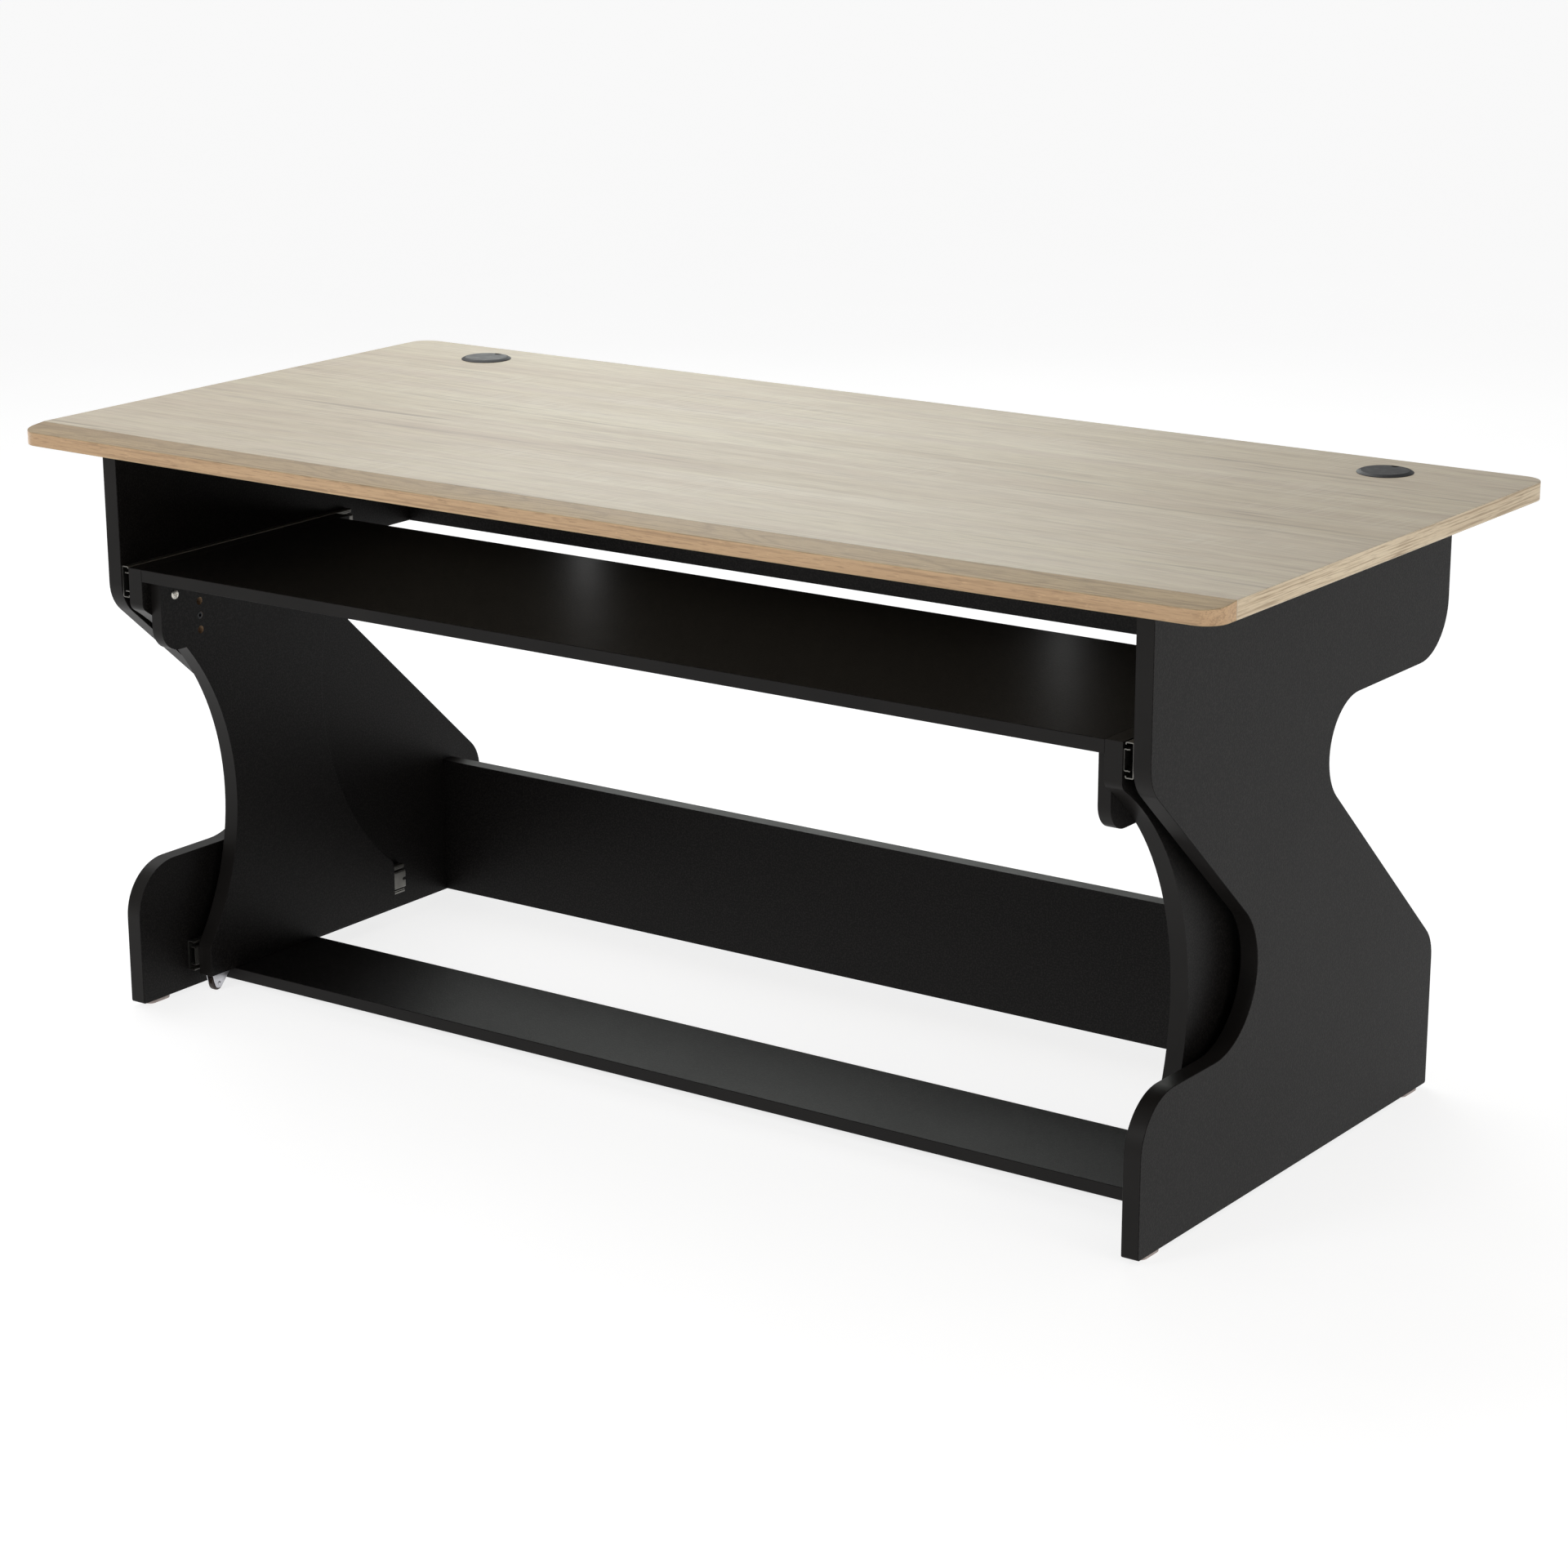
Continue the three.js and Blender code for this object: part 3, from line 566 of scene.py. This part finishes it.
def in_bore(polygon, bores, thin, low, high):
    """Whether a face is a wall or a floor of one of the bores, each given as (centre, radius)."""
    middle = polygon.calc_center_median()
    if not low[thin] + MM / 2 < middle[thin] < high[thin] - MM / 2:
        return False
    flat_axes = [axis for axis in (X, Y, Z) if axis != thin]
    for centre, radius in bores:
        distance = math.dist([middle[axis] for axis in flat_axes], [centre[axis] for axis in flat_axes])
        if distance < radius * BORE_SLACK:
            return True
    return False


def cleat_bores(side):
    """Each connector fills the middle one of three bores, one above another."""
    bores = []
    for end in ENDS:
        centre = box_centre(f"cleat_connector_{end}_{side}")
        for step in (-1, 0, 1):
            bores.append((centre + Vector((0, 0, step * CLEAT_BORE["pitch"])), CLEAT_BORE["radius"]))
    return bores


def cam_node(level, side, place):
    return f"cam_fitting_{level}_{side}_{place}"


def cam_bores(level):
    nodes = [cam_node(level, side, place) for side in SIDES for place in CAM_PLACES]
    return [(box_centre(node), CAM_BORE_RADIUS) for node in nodes]


def black_board(node, thin, bores=()):
    board(node, thin, BLACK_MELAMINE, BLACK_BAND, bores)


def make_boards():
    board("desktop_board", Z, OAK_LAMINATE, OAK_BAND)
    board("front_nosing", Z, PLANED_OAK, OILED_OAK)
    for side in SIDES:
        black_board(f"side_panel_{side}", X)
        black_board(f"carriage_panel_{side}", X)
        black_board(f"shelf_cleat_{side}", X, cleat_bores(side))
    for level in LEVELS:
        black_board(f"rear_stretcher_{level}", Y, cam_bores(level))
    black_board("keyboard_shelf", Z)
    black_board("foot_plank", Z)


# ---- turned and bent pieces ----
def rounded_path(corners, steps=4):
    """Path through the corners, each (u, v), or (u, v, radius) where the turn is rounded."""
    path = []
    for i, corner in enumerate(corners):
        point = Vector(corner[:2])
        if len(corner) == 2:
            path.append(point)
            continue
        inward = (Vector(corners[i - 1][:2]) - point).normalized()
        outward = (Vector(corners[i + 1][:2]) - point).normalized()
        setback = corner[2] / math.tan(inward.angle(outward) / 2)
        start = point + inward * setback
        end = point + outward * setback
        for step in range(steps + 1):
            t = step / steps
            path.append((1 - t) ** 2 * start + 2 * t * (1 - t) * point + t ** 2 * end)
    return path


def turned(name, path, frame_at, material, closed=False, segments=TURNED_SEGMENTS):
    """Solid of revolution about the frame's Z from a path of (radius, height) in millimetres."""
    bm = bmesh.new()
    rings = []
    for radius, height in path:
        count = segments if radius > 0 else 1
        turns = [2 * math.pi * i / segments for i in range(count)]
        points = [Vector((radius * math.cos(a), radius * math.sin(a), height)) * MM for a in turns]
        rings.append([bm.verts.new(point) for point in points])
    following = rings[1:] + ([rings[0]] if closed else [])
    for below, above in zip(rings, following):
        for i in range(segments):
            corners = [
                ring[j % len(ring)]
                for ring, j in ((below, i), (below, i + 1), (above, i + 1), (above, i))
            ]
            bm.faces.new(list(dict.fromkeys(corners)))
    bm.transform(frame_at)
    return new_piece(name, bm, [material])


def prism(outline, low, high, frame_at):
    """Straight piece over an outline in millimetres, from the low to the high end of its frame's Z."""
    bm = bmesh.new()
    ends = [[bm.verts.new(Vector((u, v, w)) * MM) for u, v in outline] for w in (low, high)]
    for end in ends:
        bm.faces.new(end)
    for i in range(len(outline)):
        bm.faces.new((ends[0][i - 1], ends[0][i], ends[1][i], ends[1][i - 1]))
    bm.transform(frame_at)
    return bm


def polygon_outline(radius, corners):
    turns = [2 * math.pi * i / corners for i in range(corners)]
    return [(radius * math.cos(a), radius * math.sin(a)) for a in turns]


def cross_outline(reach, half_width):
    """Outline of the cross recess of a screw head or cam."""
    quarter = [(reach, -half_width), (reach, half_width), (half_width, half_width)]
    outline = []
    for _ in range(4):
        outline += quarter
        quarter = [(-v, u) for u, v in quarter]
    return outline


def recess(piece, outline, depth, frame_at):
    """Cuts the outline into the piece, down to the depth below its frame's origin."""
    margin = 1
    cutter = new_piece("cutter", prism(outline, -depth, margin, frame_at), piece.data.materials)
    cut_away(piece, cutter)


def cross_recess(piece, cross, frame_at):
    reach, half_width, depth = cross
    recess(piece, cross_outline(reach, half_width), depth, frame_at)


def make_cleat_screw(end, side):
    """Pan-head screw with a cross recess."""
    node = f"cleat_screw_{end}_{side}"
    length, _, width = box_size(node)
    frame_at = face_frame(node, X, -SIDES[side])
    shank = SCREW["shank_radius"]
    neck = -SCREW["head_depth"]
    crown = [(radius, -depth) for radius, depth in SCREW["crown"]]
    head = [(0, 0), *crown, (width / 2, neck)]
    point = [(shank, shank - length), (0, -length)]
    screw = turned(node + "_finished", [*head, (shank, neck), *point], frame_at, NICKEL)
    cross_recess(screw, SCREW["cross"], frame_at)
    stand_in(screw, node)


def make_cleat_connector(end, side):
    """Plastic barrel with a hexagon socket, and a pin behind it."""
    node = f"cleat_connector_{end}_{side}"
    length, _, width = box_size(node)
    frame_at = face_frame(node, X, -SIDES[side])
    barrel_end = -CONNECTOR["barrel_depth"]
    barrel = [(0, 0), (width / 2, 0, CONNECTOR["bend"]), (width / 2, barrel_end)]
    pin = [(CONNECTOR["pin_radius"], barrel_end), (CONNECTOR["pin_radius"], -length), (0, -length)]
    connector = turned(node + "_finished", rounded_path(barrel + pin), frame_at, BLACK_PLASTIC)
    hexagon = polygon_outline(CONNECTOR["hexagon_radius"], 6)
    recess(connector, hexagon, CONNECTOR["socket_depth"], frame_at)
    stand_in(connector, node)


def make_cam(level, side, place):
    node = cam_node(level, side, place)
    width, depth, _ = box_size(node)
    frame_at = face_frame(node, Y, 1)
    disc = [(0, 0), (width / 2, 0, CAM["bend"]), (width / 2, -depth), (0, -depth)]
    cam = turned(node + "_finished", rounded_path(disc), frame_at, ZINC)
    cross_recess(cam, CAM["cross"], frame_at)
    stand_in(cam, node)


def make_grommet_sleeve(side):
    """Sleeve with a flange whose margin slopes, and a seat for the cap inside it."""
    node = f"grommet_sleeve_{side}"
    width, _, length = box_size(node)
    flange = width / 2
    rim = flange - SLEEVE["slope_width"]
    ring = rounded_path([
        (SLEEVE["inner_radius"], -length),
        (SLEEVE["outer_radius"], -length),
        (SLEEVE["outer_radius"], -SLEEVE["flange_depth"]),
        (flange, -SLEEVE["flange_depth"]),
        (flange, -SLEEVE["flange_edge_depth"], SLEEVE["flange_bend"]),
        (rim, 0, SLEEVE["rim_bend"]),
        (rim - SLEEVE["rim_width"], 0),
        (rim - SLEEVE["rim_width"], -SLEEVE["seat_depth"]),
        (SLEEVE["inner_radius"], -SLEEVE["seat_depth"]),
    ])
    frame_at = face_frame(node, Z, 1)
    name = node + "_finished"
    sleeve = turned(name, ring, frame_at, BLACK_PLASTIC, closed=True, segments=GROMMET_SEGMENTS)
    stand_in(sleeve, node)


def notch_outline():
    """A notch with a round end, open towards the cap's rear edge."""
    half_width = NOTCH["half_width"]
    turns = [math.pi * i / NOTCH["steps"] for i in range(NOTCH["steps"] + 1)]
    centre = NOTCH["innermost"] + half_width
    round_end = [(half_width * math.cos(a), centre - half_width * math.sin(a)) for a in turns]
    return round_end + [(-half_width, NOTCH["outermost"]), (half_width, NOTCH["outermost"])]


def make_grommet_cap(side):
    """Lid with a bevelled edge, a skirt that fits the sleeve, and a notch for cables."""
    node = f"grommet_cap_{side}"
    width, _, height = box_size(node)
    edge = width / 2
    lid = -CAP["lid_depth"]
    skirt = CAP["skirt_radius"]
    skirt_inner = skirt - CAP["skirt_wall"]
    disc = rounded_path([
        (0, lid),
        (skirt_inner, lid),
        (skirt_inner, -height),
        (skirt, -height),
        (skirt, lid),
        (edge, lid),
        (edge, -CAP["edge_depth"]),
        (edge - CAP["bevel_width"], 0, CAP["bevel_bend"]),
        (0, 0),
    ])
    frame_at = face_frame(node, Z, 1)
    cap = turned(node + "_finished", disc, frame_at, BLACK_PLASTIC, segments=GROMMET_SEGMENTS)
    recess(cap, notch_outline(), NOTCH["depth"], frame_at)
    stand_in(cap, node)


def far_end(path, length):
    """The mirror image of a path of (radius, height) at the other end of the length, in reverse order."""
    return [(radius, -length - height) for radius, height in reversed(path)]


def make_castor_axle(side):
    """Pin with a riveted head at each end."""
    node = f"castor_axle_{side}"
    length, _, width = box_size(node)
    neck = -AXLE["head_depth"]
    crown = [(radius, -depth) for radius, depth in AXLE["crown"]]
    head = [*crown, (width / 2, -AXLE["edge_depth"]), (width / 2, neck), (AXLE["pin_radius"], neck)]
    axle = turned(node + "_finished", head + far_end(head, length), face_frame(node, X, 1), ZINC)
    stand_in(axle, node)


def make_castor_wheel(side):
    """Wheel with a groove in each face and a rounded tread."""
    node = f"castor_wheel_{side}"
    width, _, height = box_size(node)
    radius = height / 2
    groove = [(place, -depth) for place, depth in WHEEL["groove"]]
    face = [(WHEEL["bore_radius"], 0), *groove, (radius - WHEEL["shoulder_width"], 0)]
    half = rounded_path([*face, (radius, 0, WHEEL["bend"]), (radius, -width / 2)])
    whole = half + far_end(half[:-1], width)
    wheel = turned(node + "_finished", whole, face_frame(node, X, 1), WHEEL_PLASTIC, closed=True)
    stand_in(wheel, node)


# ---- telescopic slides ----
def strip(path, thickness):
    """Outline of a bent strip whose middle follows the path."""
    outer, inner = [], []
    for i, point in enumerate(path):
        along = (path[min(i + 1, len(path) - 1)] - path[max(i - 1, 0)]).normalized()
        across = Vector((-along.y, along.x)) * thickness / 2
        outer.append(point + across)
        inner.append(point - across)
    return outer + inner[::-1]


def channel(lip, thickness):
    """Outline of a channel: the lip, and the same corners again below mid height in the other order."""
    mirrored = [(corner[0], -corner[1], *corner[2:]) for corner in reversed(lip)]
    return strip(rounded_path(lip + mirrored), thickness)


def slide_frame(level, side):
    """Frame at a slide's front end: across towards the carriage, up, and its Z to the rear."""
    low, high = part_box(f"slide_cabinet_{level}_{side}")
    inward = -SIDES[side]
    origin = Vector(((low if inward > 0 else high)[X], low[Y], (low[Z] + high[Z]) / 2))
    axes = Matrix(((inward, 0, 0), (0, 0, 1), (0, 1, 0))).to_4x4()
    return Matrix.Translation(origin) @ axes


def punch_slots(piece, web, front, rear, frame_at):
    """Cuts the row of screw slots through a member's web."""
    across = Matrix(((0, 0, 1), (0, -1, 0), (1, 0, 0))).to_4x4()
    ends = polygon_outline(MOUNTING_SLOT["radius"], MOUNTING_SLOT["corners"])
    outline = [(u + math.copysign(MOUNTING_SLOT["half_length"], u), v) for u, v in ends]
    for along in range(front + MOUNTING_SLOT["first"], rear, MOUNTING_SLOT["pitch"]):
        slot_at = Matrix.Translation(Vector((web + SLIDE_METAL, 0, along)) * MM)
        recess(piece, outline, 2 * SLIDE_METAL, frame_at @ slot_at @ across)


def make_member(member, level, side):
    node = f"slide_{member}_{level}_{side}"
    lip = SLIDE_LIPS[member]
    web = lip[-1][0]
    front = MIDDLE_SHORTER if member == "middle" else 0
    rear = front + round(box_size(node)[Y])
    frame_at = slide_frame(level, side)
    bm = prism(channel(lip, SLIDE_METAL), front, rear, frame_at)
    piece = new_piece(node + "_finished", bm, [SHADE_DARKENED_SLIDE_STEEL])
    punch_slots(piece, web, front, rear, frame_at)
    stand_in(piece, node)


def make_cage(place, body, level, side):
    """A ball retainer: bent strip with a row of balls along each edge."""
    lip = CAGE_LIPS[place]
    edge = lip[0][1]
    front, rear = CAGE_SPAN
    frame_at = slide_frame(level, side)
    bm = prism(channel(lip, CAGE_METAL), front, rear, frame_at)
    for height in (-edge, edge):
        for i in range((rear - front) // BALL["pitch"]):
            along = front + BALL["pitch"] * (i + 0.5)
            ball_at = Matrix.Translation(Vector((BALL["across"], height, along)) * MM)
            bmesh.ops.create_uvsphere(
                bm, u_segments=12, v_segments=8, radius=BALL["radius"] * MM, matrix=frame_at @ ball_at,
            )
    cage = new_piece(f"ball_cage_{place}_{level}_{side}", bm, [SHADE_DARKENED_SLIDE_STEEL])
    smooth_flats(cage)
    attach(cage, body)


def make_slide(level, side):
    for member in SLIDE_LIPS:
        make_member(member, level, side)
    make_cage("outer", "desk", level, side)
    make_cage("inner", f"slide_middle_{level}_{side}", level, side)


def make_fittings():
    for level in LEVELS:
        for side in SIDES:
            for place in CAM_PLACES:
                make_cam(level, side, place)
    for side in SIDES:
        for end in ENDS:
            make_cleat_screw(end, side)
            make_cleat_connector(end, side)
        make_grommet_sleeve(side)
        make_grommet_cap(side)
        eased(f"castor_bracket_{side}", ZINC, EASED_METAL)
        make_castor_axle(side)
        make_castor_wheel(side)
        for level in LEVELS:
            make_slide(level, side)
        for end in ENDS:
            eased(f"glide_{end}_{side}", GLIDE_PLASTIC, EASED_GLIDE)


# ---- scene ----
def make_floor():
    bm = bmesh.new()
    bmesh.ops.create_grid(
        bm, x_segments=FLOOR["cells"], y_segments=FLOOR["cells"], size=FLOOR["half_size"],
    )
    floor = new_piece("floor", bm, [floor_material()])
    floor.location.z = cad_bounds[0][Z] - FLOOR["gap"]


def make_room():
    """The world: one strength for the light it gives, and another where the camera sees it."""
    world = bpy.data.worlds.new("studio")
    bpy.context.scene.world = world
    world.use_nodes = True
    nodes, links = world.node_tree.nodes, world.node_tree.links
    background = nodes["Background"]
    background.inputs["Color"].default_value = (1.0, 1.0, 1.0, 1)
    strength = nodes.new("ShaderNodeMapRange")
    strength.inputs["To Min"].default_value = ROOM["light"]
    strength.inputs["To Max"].default_value = ROOM["look"]
    links.new(nodes.new("ShaderNodeLightPath").outputs["Is Camera Ray"], strength.inputs["Value"])
    links.new(strength.outputs["Result"], background.inputs["Strength"])


def area_light(name, position, target, size, power, colour=(1, 1, 1)):
    data = bpy.data.lights.new(name, "AREA")
    data.shape = "RECTANGLE"
    data.size, data.size_y = size
    data.energy = power
    data.color = colour
    light = bpy.data.objects.new(name, data)
    light.location = position
    light.visible_camera = False
    light.rotation_euler = (Vector(target) - Vector(position)).to_track_quat("-Z", "Y").to_euler()
    bpy.context.scene.collection.objects.link(light)


def make_lights():
    """Softboxes round the desk, and two small lamps whose reflections show on the keyboard shelf."""
    cool = (0.95, 1.0, 0.95)
    warm = (1, 0.95, 0.88)
    area_light("overhead", (-1.8, 1.0, 3.2), target=(0, 0, 0.6), size=(3, 3), power=60)
    area_light("behind", (-2.6, 3.8, 2.05), target=(0, 0, 0.7), size=(1.8, 1.2), power=15, colour=cool)
    area_light("front_left", (-0.7, -2.9, 1.6), target=(-0.1, 0, 0.6), size=(1.0, 1.0), power=19)
    area_light("right", (2.3, -0.5, 0.95), target=(0.8, -0.3, 0.6), size=(0.9, 0.9), power=6, colour=warm)
    area_light("left", (-3.2, 0.2, 0.6), target=(-0.8, 0, 0.4), size=(1.5, 1.0), power=14)
    for x, height in ((-0.423, 0.665), (0.312, 0.680)):
        area_light("shelf_glow", (x, 0.212, height), target=(x, -0.1, 0.60), size=(0.02, 0.06), power=0.021)


def make_camera():
    data = bpy.data.cameras.new("camera")
    data.sensor_width = 36
    data.lens = CAMERA["lens"]
    data.shift_x, data.shift_y = CAMERA["shift"]
    data.clip_end = 200
    azimuth, elevation, roll = (math.radians(CAMERA[key]) for key in ("azimuth", "elevation", "roll"))
    turn = Matrix.Rotation(azimuth, 4, "Z") @ Matrix.Rotation(math.pi / 2 - elevation, 4, "X")
    camera = bpy.data.objects.new("camera", data)
    camera.matrix_world = Matrix.Translation(CAMERA["position"]) @ turn @ Matrix.Rotation(roll, 4, "Z")
    bpy.context.scene.collection.objects.link(camera)
    bpy.context.scene.camera = camera


make_boards()
make_fittings()
make_floor()
make_room()
make_lights()
make_camera()

bpy.context.scene.view_settings.view_transform = "Standard"
